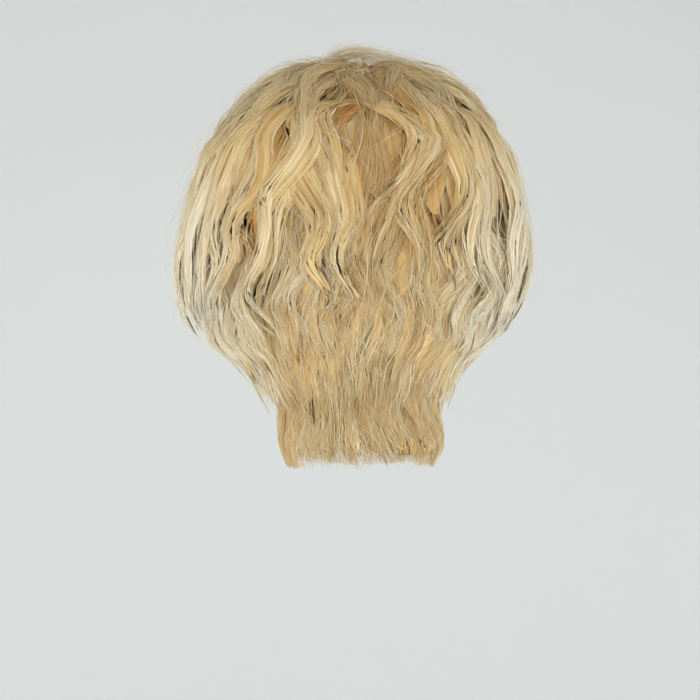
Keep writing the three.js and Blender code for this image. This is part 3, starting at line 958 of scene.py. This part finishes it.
def fibres_along(middles, out, width, shade):
    """Three-sided tubes along courses (fibres x stations x 3)."""
    t = np.linspace(0, 1, middles.shape[1])
    narrowing = np.minimum(ROOT_THIN + 2 * t, 1) * (1 - (1 - TIP_THIN) * t**3)
    ahead = np.gradient(middles, axis=1)
    side = np.cross(ahead, out)
    side /= np.linalg.norm(side, axis=2, keepdims=True)
    rise = np.cross(side, ahead)
    rise /= np.linalg.norm(rise, axis=2, keepdims=True)
    half = 0.5 * width[:, None] * narrowing[None]
    turns = np.radians(FIBRE_CORNERS)[:, None]
    ring = np.cos(turns) * side[:, :, None] + FIBRE_FLATTEN * np.sin(turns) * rise[:, :, None]
    loops = middles[:, :, None] + half[:, :, None, None] * ring
    return loft(loops, shade[:, None, None])


print("triangles in a fibre:", len(loft_triangles(FIBRE_STATIONS, len(FIBRE_CORNERS))))

# %% [markdown]
# ## The fibres of a strand
# Over its body a strand has single fibres, and some stray and cross the others. Each shows for a part
# of the strand's length only, because the rest of it lies inside. A few, and the stray ones, are painted
# paler than the others, as painted highlights that catch the eye.

# %% Grow the fibres
FIBRE_WIDTH = (0.00034, 0.00064)
FIBRE_LENGTH = (1.1, 2.1)  # rings that show of a fibre
ROOT_SINK = 0.3  # how deep in the body a fibre's visible part begins
ROOT_SHARE = 0.25  # share of its length over which it comes out
FIBRE_BEYOND = 0.2  # rings by which the longest pass their strand's tip
FIBRE_LEAST = 0.5  # rings that every fibre can show
FIBRE_SPREAD = 0.35  # share of the strand's width that they keep at the tip, at least
FIBRE_SCATTER = 1.25  # how far fibres lie off the middle of their strand, in its half widths
FIBRE_RISE = 0.26  # how far above the body, as a share of the lock's thickness
EDGE_FALL = 1.3  # how far down the strand's edge they follow it, in arches
FRIZZ = 0.26  # in half widths of the strand
FRIZZ_WAVES = (0.7, 1.5)  # in a ring
STRAY_SHARE = 0.38
STRAY_TURN = 2.2  # how far a stray fibre wanders from its strand, in half widths
STRAY_START = 0.6  # how far it begins on the other side, as a share of that
STRAY_RISE = 0.1
# painted highlights: stray fibres and a share of the others are painted paler
STRAY_PAINTED_LIGHT = 0.08
HIGHLIGHT_SHARE = 0.16  # share of the fibres that catch the eye
PAINTED_HIGHLIGHT = 0.24
FIBRE_SHADE = 0.1
DEEP_SHARE = 0.3  # share of a lock's fibres that lie between and under its strands


def grown(row, lock, strands, own, height, shade, rng):
    """One fibre for each strand in the arrays."""
    growth = GROWTH[row.name]
    count = len(strands.place)
    own_draw = (count, 1)
    t = np.linspace(0, 1, FIBRE_STATIONS)[None]
    first = growth.shown
    last = strands.tip + FIBRE_BEYOND - rng.exponential(growth.uneven, own_draw)
    last = np.maximum(last, first + FIBRE_LEAST)
    length = np.minimum(rng.uniform(*FIBRE_LENGTH, own_draw), last - first)
    early = (last - first - length) * rng.random(own_draw)
    tip = np.where(rng.random(own_draw) < growth.ends, last, first + length + early)
    ring = tip - length * (1 - t)
    turns = rng.random(own_draw) + ring * rng.uniform(*FRIZZ_WAVES, own_draw)
    frizz = FRIZZ * np.sin(2 * math.pi * turns)
    sunk = ROOT_SINK * (1 - smooth(t / ROOT_SHARE))
    least = max(FIBRE_SPREAD, growth.blunt)
    angle, lift = strand_place(row, lock, strands, ring, own(t) + frizz, height - sunk, least)
    tone = shade + painted_light_and_shade(angle, ring).mean(axis=1) + rng.normal(0, FIBRE_SHADE, count)
    # painted shade: fibres in the hollows are painted deeper
    if row.name in HOLLOW_ROWS:
        tone = tone - HOLLOW_PAINTED_SHADE * hollow_depth(angle, ring).max(axis=1)
    width = rng.uniform(*FIBRE_WIDTH, count)
    return fibres_along(lifted_point(angle, ring, lift), outward(angle, ring)[0], width, tone)


def strand_fibres(row, lock, strands, count, rng):
    own_draw = (count, 1)
    each = picked(strands, np.arange(count) % len(strands.place))
    each = Strands(*(field[:, None] for field in each))
    start = FIBRE_SCATTER * rng.uniform(-1, 1, own_draw)
    stray = rng.random(own_draw) < STRAY_SHARE
    wander = np.where(stray, rng.choice([-1, 1], own_draw) * STRAY_TURN * rng.random(own_draw), 0)
    height = BODY_ARCH * (1 - np.minimum(start**2, EDGE_FALL)) + FIBRE_RISE * rng.random(own_draw)
    height = height + STRAY_RISE * stray
    highlit = rng.random(count) < HIGHLIGHT_SHARE
    shade = SHADE_MIDDLE + each.shade[:, 0] + STRAY_PAINTED_LIGHT * stray[:, 0] + PAINTED_HIGHLIGHT * highlit
    return grown(row, lock, each, lambda t: start + wander * (2 * t - STRAY_START), height, shade, rng)


print("fibres over the strands, of each hundred:", round(100 - 100 * DEEP_SHARE))

# %% [markdown]
# ## The fibres between the strands
# Between and under the strands lie fibres of their own, painted in the warmer, deeper shades as painted
# shade. At the nape half of these hang straight down while the others follow the sweep, so that no gap
# opens between the two.

# %% Grow fibres between the strands
DEEP_SPREAD = 1.7  # how far from the lock's middle they lie, in its half widths
# painted shade between and under the strands
DEEP_PAINTED_SHADE = -0.08
DEEP_CROWD = 1.5  # most of them end near the tip
DEEP_SHORTER = 1.1  # rings by which the shortest end before it
DEEP_WIDTH = 0.15
DEEP_LEVEL = (0.1, 0.65)
NAPE_DEEP_SHORTER = 0.15
NAPE_DEEP_WIDTHS = (0.3, 1.0)  # the wide ones hang straight, along the underlay
NAPE_DEEP_LEVEL = (0.45, 0.75)


def deep_fibres(row, lock, count, rng):
    deep = strands_of(row, lock, count, rng)
    place = rng.uniform(-DEEP_SPREAD, DEEP_SPREAD, count)
    ends = rng.random(count) ** DEEP_CROWD
    if row.name == "nape_weft":
        wide = rng.choice(NAPE_DEEP_WIDTHS, count)
        tip = deep.tip - NAPE_DEEP_SHORTER * ends
        level = rng.uniform(*NAPE_DEEP_LEVEL, count)
    else:
        wide = np.full(count, DEEP_WIDTH)
        tip = lock.tip - DEEP_SHORTER * ends
        level = rng.uniform(*DEEP_LEVEL, count)
    deep = deep._replace(place=place, tip=tip, wide=wide, level=level)
    deep = Strands(*(field[:, None] for field in deep))
    shade = SHADE_MIDDLE + DEEP_PAINTED_SHADE + GROWTH[row.name].shade
    return grown(row, lock, deep, lambda t: 0 * t, 0.0, shade, rng)


print("fibres:", sum(growth.fibres + growth.short for growth in GROWTH.values()))

# %% [markdown]
# ## The sewn strip
# Under its locks each weft is a dense mat of short fibres. A closed shell stands for it, painted in the
# deep shades as painted shade, so that no gap shows between the locks. Its shade changes from column to
# column round the head, and its lower edge is ragged.

# %% Build the strip under the locks
STRIP_FILL = 0.5  # share of the row's room that the strip fills
STRIP_EDGE = 0.25  # share of that at its edges
STRIP_SLANT = 0.25  # how much shorter it is at its lower edge
STRIP_TURN = 2  # degrees between the columns of a strip
STRIP_STEP = 0.25  # rings between its rows
STRIP_RAGGED = 0.5  # rings by which that edge differs
STRIP_RISE = 0.5  # how much of the way it rises at the crown's shoulder
# painted shade: the strip lies in the shadow under the locks
STRIP_PAINTED_SHADE = 0.3
STRIP_STREAKS = 0.09
STRIP_MAP = (0.3, 0.5)  # its place along the map, and how much of it
WELD_DIGITS = 7  # digits of a metre that count as one place


def wall_triangles(rows, columns, closed):
    """The triangles of a wall between two sheets, the inner sheet's points first."""
    inner = np.arange(rows * columns).reshape(rows, columns)
    if closed:
        inner = np.concatenate([inner, inner[:, :1]], axis=1)
    outer = inner + rows * columns
    quads = [(outer[:-1, :-1], outer[:-1, 1:], outer[1:, 1:], outer[1:, :-1])]
    quads += [(inner[:-1, :-1], inner[1:, :-1], inner[1:, 1:], inner[:-1, 1:])]
    quads += [(inner[0, :-1], inner[0, 1:], outer[0, 1:], outer[0, :-1])]
    quads += [(inner[-1, :-1], outer[-1, :-1], outer[-1, 1:], inner[-1, 1:])]
    if not closed:
        quads += [(inner[:-1, 0], outer[:-1, 0], outer[1:, 0], inner[1:, 0])]
        quads += [(inner[:-1, -1], inner[1:, -1], outer[1:, -1], outer[:-1, -1])]
    corners = np.concatenate([np.stack([c.ravel() for c in quad], axis=1) for quad in quads])
    return np.concatenate([corners[:, (0, 1, 2)], corners[:, (0, 2, 3)]])


def welded(points, triangles, place):
    """Points at one place are joined, and triangles that this leaves flat are dropped."""
    _, first, where = np.unique(points.round(WELD_DIGITS), axis=0, return_index=True, return_inverse=True)
    corners = where.reshape(-1)[triangles]
    a, b, c = corners.T
    whole_ones = (a != b) & (b != c) & (c != a)
    return Fibres(points[first], corners[whole_ones], place[first])


def strip_shell(row, rng):
    closed = row.span == 360
    columns = round(row.span / STRIP_TURN) + (0 if closed else 1)
    rows = round((row.strip_end - row.root) / STRIP_STEP) + 1
    down = np.linspace(0, 1, rows)[:, None]
    ragged = STRIP_RAGGED * rng.random(columns)[None] * down**2
    ring = row.root + (row.strip_end - row.root) * down - ragged
    span = row.span * (1 if closed else 1 - STRIP_SLANT * down)
    angle = row.middle + span * (np.arange(columns)[None] * STRIP_TURN / row.span - 0.5)
    begin, free = room_for(row, angle, ring)
    body = np.sin(math.pi * np.clip(down, 0 if row.root else 0.5, 1))
    fill = STRIP_FILL * (STRIP_EDGE + (1 - STRIP_EDGE) * body)
    outside = shouldered(row, angle, ring, begin + free * fill, STRIP_RISE)
    sheets = [lifted_point(angle, ring, begin), lifted_point(angle, ring, outside)]
    points = np.concatenate([sheet.reshape(-1, 3) for sheet in sheets])
    shade = STRIP_PAINTED_SHADE + painted_light_and_shade(angle, ring) + rng.normal(0, STRIP_STREAKS, columns)[None]
    shade = np.clip(shade, *SHADE_LIMITS)
    place = np.stack(np.broadcast_arrays(shade, STRIP_MAP[0] + STRIP_MAP[1] * down), axis=-1).reshape(-1, 2)
    return welded(points, wall_triangles(rows, columns, closed), np.concatenate([place, place]))


print("strips end at ring", ", ".join(str(row.strip_end) for row in ROWS))

# %% [markdown]
# ## The short fibres of the strip
# Some of the mat's fibres are short and lie over it, so that the shell doesn't look smooth. Most of
# them grow near the middle of the row, and they wave together with their neighbours.

# %% Lay short fibres on the strip
STRIP_SWAY = 0.004
STRIP_WAVE = 0.6  # waves in a ring
SHORT_ROOT = 0.05  # rings below the row's root
SHORT_SPREAD = 0.4
SHORT_END = (-0.4, 0.7)  # rings beyond the strip's end
SHORT_SPAN = 0.48  # how far round they reach to each side, as a share of the row
SHORT_CROWD = 0.8  # how much closer they stand in the middle of it
SHORT_GROUPS = 3
SHORT_JITTER = 0.06
SHORT_LEVEL = (0.42, 0.62)  # share of the row's depth
SHORT_RISE = 0.0004
SHORT_PALER = 0.1
SHORT_STREAKS = 0.12
SHORT_WIDER = 1.3  # than the other fibres


def strip_fibres(row, rng):
    growth = GROWTH[row.name]
    own = (growth.short, 1)
    t = np.linspace(0, 1, FIBRE_STATIONS)[None]
    root = row.root + SHORT_ROOT + rng.uniform(0, SHORT_SPREAD, own)
    ring = root + (row.strip_end + rng.uniform(*SHORT_END, own) - root) * t
    draw = rng.uniform(-1, 1, own)
    home = row.middle + SHORT_SPAN * row.span * draw * np.abs(draw) ** SHORT_CROWD
    turns = ring * STRIP_WAVE + np.sin(np.radians(SHORT_GROUPS * home)) + rng.normal(0, SHORT_JITTER, own)
    swing = STRIP_SWAY * smooth(2 * t) * np.sin(2 * math.pi * turns)
    angle = home + np.degrees(swing / np.maximum(reach(home, ring), STRIP_SWAY))
    begin, free = room_for(row, angle, ring)
    lift = begin + free * rng.uniform(*SHORT_LEVEL, own) + SHORT_RISE
    lift = shouldered(row, angle, ring, lift, STRIP_RISE)
    # the strip's painted shade, a little paler on the short fibres that lie over it
    shade = STRIP_PAINTED_SHADE + SHORT_PALER + painted_light_and_shade(angle, ring).mean(axis=1)
    shade = shade + rng.normal(0, SHORT_STREAKS, growth.short)
    width = SHORT_WIDER * rng.uniform(*FIBRE_WIDTH, growth.short)
    return fibres_along(lifted_point(angle, ring, lift), outward(angle, ring)[0], width, shade)


print("short fibres:", sum(growth.short for growth in GROWTH.values()))

# %% [markdown]
# ## Loose hairs and the tuft
# Waved fibres never all lie down. Fine, pale hairs stand off the outline all round, and at the top of
# the crown a thin tuft rises, arches over and falls towards the wearer's right.

# %% Let some hairs stand off
LOOSE_WIDTH = (0.00022, 0.00034)
LOOSE_STATIONS = 9
LOOSE_RISE = (0.001, 0.0105)
LOOSE_LENGTH = (0.35, 1.0)  # rings
LOOSE_TURN = 8  # degrees that a loose hair drifts round the head
LOOSE_BEND = 2.5  # degrees that it bends besides
LOOSE_UNDER = 0.93  # share of the whole depth of hair where it starts
LOOSE_ARCH = (0.45, 0.9)  # half waves that it rises through
LOOSE_CURVE = 1.5  # how late it rises
LOOSE_SHADE = (0.65, 0.95)

# How many there are, the first and last ring where they start, and degrees round the head.
Loose = namedtuple("Loose", "count first last span")
LOOSE = {
    "top_hair": Loose(190, 0.5, 2.2, 360),
    "crown_weft": Loose(190, 2.2, 5.2, 230),
    "ear_to_ear_weft": Loose(40, 5.0, 6.2, 180),
    "nape_weft": Loose(40, 7.4, 8.4, 120),
}
TUFT_HAIRS = 130
TUFT_STATIONS = 13
TUFT_LIMIT = 1.5  # how far a hair may lie off the tuft's middle, in spreads
TUFT_OUT = np.array((0.0, 0.3, 1.0))  # the way that the flat side of its hairs faces
TUFT_SHADE = (0.55, 0.9)
TUFT_WIDER = 1.2  # than the loose hairs
TUFT_COURSE = np.array([  # the bends of the tuft's middle, in metres
    (0.024, 0.006, 0.008),
    (0.018, 0.006, 0.029),
    (-0.006, 0.008, 0.026),
    (-0.046, 0.014, 0.008),
])
TUFT_SPREAD = np.array([  # how far single hairs lie off it
    (0.008, 0.013, 0.002),
    (0.007, 0.013, 0.006),
    (0.010, 0.013, 0.006),
    (0.014, 0.016, 0.003),
])


def loose_hairs(loose, rng):
    own = (loose.count, 1)
    t = np.linspace(0, 1, LOOSE_STATIONS)[None]
    ring = rng.uniform(loose.first, loose.last, own) + rng.uniform(*LOOSE_LENGTH, own) * t
    home = loose.span * rng.uniform(-0.5, 0.5, own)
    drift = rng.normal(0, LOOSE_TURN, own) * t
    bend = rng.normal(0, LOOSE_BEND, own) * np.sin(2 * math.pi * (t + rng.random(own)))
    angle = home + (drift + bend)
    rise = rng.uniform(*LOOSE_RISE, own)
    rise = rise * np.sin(math.pi * rng.uniform(*LOOSE_ARCH, own) * t) ** LOOSE_CURVE
    lift = LOOSE_UNDER * outward(angle, ring)[1] + rise
    shade = rng.uniform(*LOOSE_SHADE, loose.count)
    width = rng.uniform(*LOOSE_WIDTH, loose.count)
    return fibres_along(lifted_point(angle, ring, lift), outward(angle, ring)[0], width, shade)


def tuft(rng):
    off = rng.normal(0, 1, (TUFT_HAIRS, *TUFT_COURSE.shape)).clip(-TUFT_LIMIT, TUFT_LIMIT)
    bends = TUFT_COURSE[None] + TUFT_SPREAD[None] * off
    t = np.linspace(0, 1, TUFT_STATIONS)
    weights = np.stack([(1 - t) ** 3, 3 * t * (1 - t) ** 2, 3 * t**2 * (1 - t), t**3], axis=1)
    middles = np.einsum("sb,hbx->hsx", weights, bends)
    out = np.broadcast_to(TUFT_OUT, middles.shape)
    shade = rng.uniform(*TUFT_SHADE, TUFT_HAIRS)
    return fibres_along(middles, out, TUFT_WIDER * rng.uniform(*LOOSE_WIDTH, TUFT_HAIRS), shade)


print("loose hairs:", sum(loose.count for loose in LOOSE.values()) + TUFT_HAIRS)

# %% [markdown]
# ## From arrays to a mesh
# The arrays are handed to Blender in one go, with the map that the hair's material reads. Real hair
# scatters light from fibre to fibre, so its light and shade are softer than its form. The normals are
# therefore turned a little towards the outside of the wig, as if it were one rounded body.

# %% Make a mesh of fibres
FORM_MIDDLE = np.array((0.004, 0.008, -0.115))
FORM_HALF = np.array((0.120, 0.117, 0.130))
FACING_DOWN = 0.25  # how far down the softened normals may point
SOFTNESS = 0.45  # how much the outside of the wig counts against a fibre's own form


def soft_normals(mesh, points):
    """The points' own normals, turned towards the outside of the wig."""
    own = np.empty(points.size, dtype=np.float32)
    mesh.vertex_normals.foreach_get("vector", own)
    own = own.reshape(-1, 3)
    away = (points - FORM_MIDDLE) / FORM_HALF**2
    away /= np.linalg.norm(away, axis=1, keepdims=True)
    away[:, 2] = np.maximum(away[:, 2], -FACING_DOWN)
    facing = smooth(1 + (own * away).sum(axis=1, keepdims=True))
    turned = own + SOFTNESS * facing * away
    return turned / np.linalg.norm(turned, axis=1, keepdims=True)


def mesh_piece(name, made):
    mesh = bpy.data.meshes.new(name)
    mesh.vertices.add(len(made.points))
    mesh.vertices.foreach_set("co", made.points.astype(np.float32).ravel())
    mesh.loops.add(made.triangles.size)
    mesh.loops.foreach_set("vertex_index", made.triangles.astype(np.int32).ravel())
    mesh.polygons.add(len(made.triangles))
    mesh.polygons.foreach_set("loop_start", np.arange(0, made.triangles.size, 3, dtype=np.int32))
    mesh.polygons.foreach_set("use_smooth", np.ones(len(made.triangles), dtype=bool))
    layer = mesh.uv_layers.new(name=MAP_NAME)
    layer.uv.foreach_set("vector", made.map[made.triangles.ravel()].astype(np.float32).ravel())
    mesh.update(calc_edges=True)
    mesh.validate()
    mesh.normals_split_custom_set_from_vertices(soft_normals(mesh, made.points))
    piece = bpy.data.objects.new(name, mesh)
    bpy.context.collection.objects.link(piece)
    return piece


print("normals turned towards the outside by", SOFTNESS)

# %% [markdown]
# ## One piece for each row
# The strip, the bodies and all the fibres of a row become one piece. It stands for the row's plain
# solid and rides on the wig's only body. Every row has its own seed, so that a change in one leaves the
# others alone.

# %% Make the rows of hair
FIRST_SEED = 100


def row_of_hair(row):
    rng = np.random.default_rng(FIRST_SEED + ROWS.index(row))
    locks = locks_of(row)
    growth = GROWTH[row.name]
    parts = [strip_shell(row, rng), strip_fibres(row, rng)]
    share = growth.fibres // len(locks)
    deep = round(DEEP_SHARE * share)
    for lock in locks:
        strands = strands_of(row, lock, STRANDS, rng)
        parts.append(underlay(row, lock, rng))
        parts.append(strand_bodies(row, lock, strands, rng))
        parts.append(strand_fibres(row, lock, strands, share - deep, rng))
        parts.append(deep_fibres(row, lock, deep, rng))
    if row.name in LOOSE:
        parts.append(loose_hairs(LOOSE[row.name], rng))
    if row.name == "top_hair":
        parts.append(tuft(rng))
    piece = mesh_piece(row.name + "_fibres", joined(parts))
    piece.data.materials.append(HAIR)
    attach(piece, "root")
    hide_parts(row.name)
    print(piece.name, len(piece.data.polygons), "triangles")
    return piece


hair_pieces = [row_of_hair(row) for row in ROWS]

# %% [markdown]
# ## The cap
# The cap is a stretch net, knitted from thin thread, with the wefts sewn to it in rows. It is one sheet
# that fits the head, so a flat grid is laid over the head, its seam and crown are merged, and Solidify
# gives it its thickness.

# %% Make the cap
CAP_COLUMNS = 96
CAP_ROWS = 40
CAP_MERGE = 0.00001
CAP_EDGE = np.array([  # angle from the middle of the back, and the ring that the cap reaches there
    (0, 6.6),
    (44, 6.5),
    (64, 6.1),
    (84, 5.1),
    (98, 4.7),
    (114, 5.2),
    (134, 3.9),
    (156, 2.9),
    (180, 2.7),
])


def cap_edge_ring(angle):
    turned = np.abs((angle + 180) % 360 - 180)
    angles, rings = CAP_EDGE.T
    place = np.clip(np.searchsorted(angles, turned) - 1, 0, len(angles) - 2)
    t = smooth((turned - angles[place]) / (angles[place + 1] - angles[place]))
    return rings[place] + t * (rings[place + 1] - rings[place])


bpy.ops.object.select_all(action="DESELECT")
bpy.ops.mesh.primitive_grid_add(x_subdivisions=CAP_COLUMNS, y_subdivisions=CAP_ROWS, size=2)
cap = bpy.context.object
cap.name = "wig_cap_net"
cap.data.uv_layers[0].name = MAP_NAME
flat = np.empty(3 * len(cap.data.vertices))
cap.data.vertices.foreach_get("co", flat)
flat = flat.reshape(-1, 3)
cap_angle = 180 * flat[:, 0]
cap_ring = cap_edge_ring(cap_angle) * (0.5 - 0.5 * flat[:, 1])
cap.data.vertices.foreach_set("co", lifted_point(cap_angle, cap_ring, 0 * cap_ring).ravel())
bpy.ops.object.mode_set(mode="EDIT")
bpy.ops.mesh.select_all(action="SELECT")
bpy.ops.mesh.remove_doubles(threshold=CAP_MERGE)
bpy.ops.mesh.normals_make_consistent(inside=False)
bpy.ops.object.mode_set(mode="OBJECT")
wall = cap.modifiers.new("net_thickness", "SOLIDIFY")
wall.thickness = CAP_WALL
wall.offset = 1.0
bpy.ops.object.modifier_apply(modifier=wall.name)
bpy.ops.object.shade_smooth()

# %% [markdown]
# ## The net
# The net's threads run round the head and down it, and every sewn row is a dark line of stitches. The
# cap's map counts both ways, so two sine waves make the mesh and a slower one the stitched rows.

# %% Weave the net
NET_THREADS_ROUND = 260
NET_THREADS_DOWN = 130
SEWN_ROWS = 13
STITCH_NARROW = 12
STITCH_DARKER = 0.55
NET_ROUGHNESS = 0.75
STITCH_ROUGHER = 0.15
NET_RELIEF = {"Strength": 0.5, "Distance": 0.0004}
NET_SHADES = ((0.0, (0.20, 0.105, 0.040)), (0.6, (0.46, 0.28, 0.13)), (1.0, (0.60, 0.41, 0.22)))


def net_material():
    material, shader, across, along = new_material("cap_net")
    turn = 2 * math.pi
    mesh = (turn * NET_THREADS_ROUND * across).wave() * (turn * NET_THREADS_DOWN * along).wave()
    stitched = (turn * SEWN_ROWS * along).wave() ** STITCH_NARROW
    height = 1 - mesh
    tone = height - STITCH_DARKER * stitched
    colour = tone.node("ShaderNodeValToRGB", {"stops": NET_SHADES}, {"Fac": tone})
    feed(colour, shader, "Base Color")
    feed(NET_ROUGHNESS + STITCH_ROUGHER * stitched, shader, "Roughness")
    bump = height.node("ShaderNodeBump", {}, {**NET_RELIEF, "Height": height})
    feed(bump, shader, "Normal")
    return material


cap.data.materials.clear()
cap.data.materials.append(net_material())
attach(cap, "root")
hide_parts("wig_cap")
print("threads in the net:", NET_THREADS_ROUND, "by", NET_THREADS_DOWN, "with", SEWN_ROWS, "sewn rows")

# %% [markdown]
# ## The backdrop's finish
# Painted paper is matt and almost white, with the faintest unevenness.

# %% Finish the backdrop
PAPER_SHADES = ((0.3, (0.86, 0.885, 0.875)), (0.7, (0.90, 0.915, 0.905)))
PAPER_CLOUDS = {"Scale": 0.6, "Detail": 1.0}
PAPER_ROUGHNESS = 0.9


def paper_material():
    material = bpy.data.materials.new("backdrop_paper")
    material.use_nodes = True
    shader = material.node_tree.nodes["Principled BSDF"]
    start = Value(shader.inputs["Base Color"])
    place = start.node("ShaderNodeTexCoord", {}, {}, "Object")
    cloud = place.node("ShaderNodeTexNoise", {}, {"Vector": place, **PAPER_CLOUDS})
    feed(cloud.node("ShaderNodeValToRGB", {"stops": PAPER_SHADES}, {"Fac": cloud}), shader, "Base Color")
    shader.inputs["Roughness"].default_value = PAPER_ROUGHNESS
    return material


stage.data.materials.append(paper_material())
print("backdrop:", stage.data.materials[0].name)

# %% [markdown]
# ## Measure and finish
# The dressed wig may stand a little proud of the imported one, and no more, so both boxes are kept.

# %% Write the sizes
wig_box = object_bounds()
print("triangles in all:", sum(len(piece.data.polygons) for piece in hair_pieces))
proud = (*(cad_box[0] - wig_box[0]), *(wig_box[1] - cad_box[1]))
print("proud of the box (mm):", [round(1000 * side, 1) for side in proud])
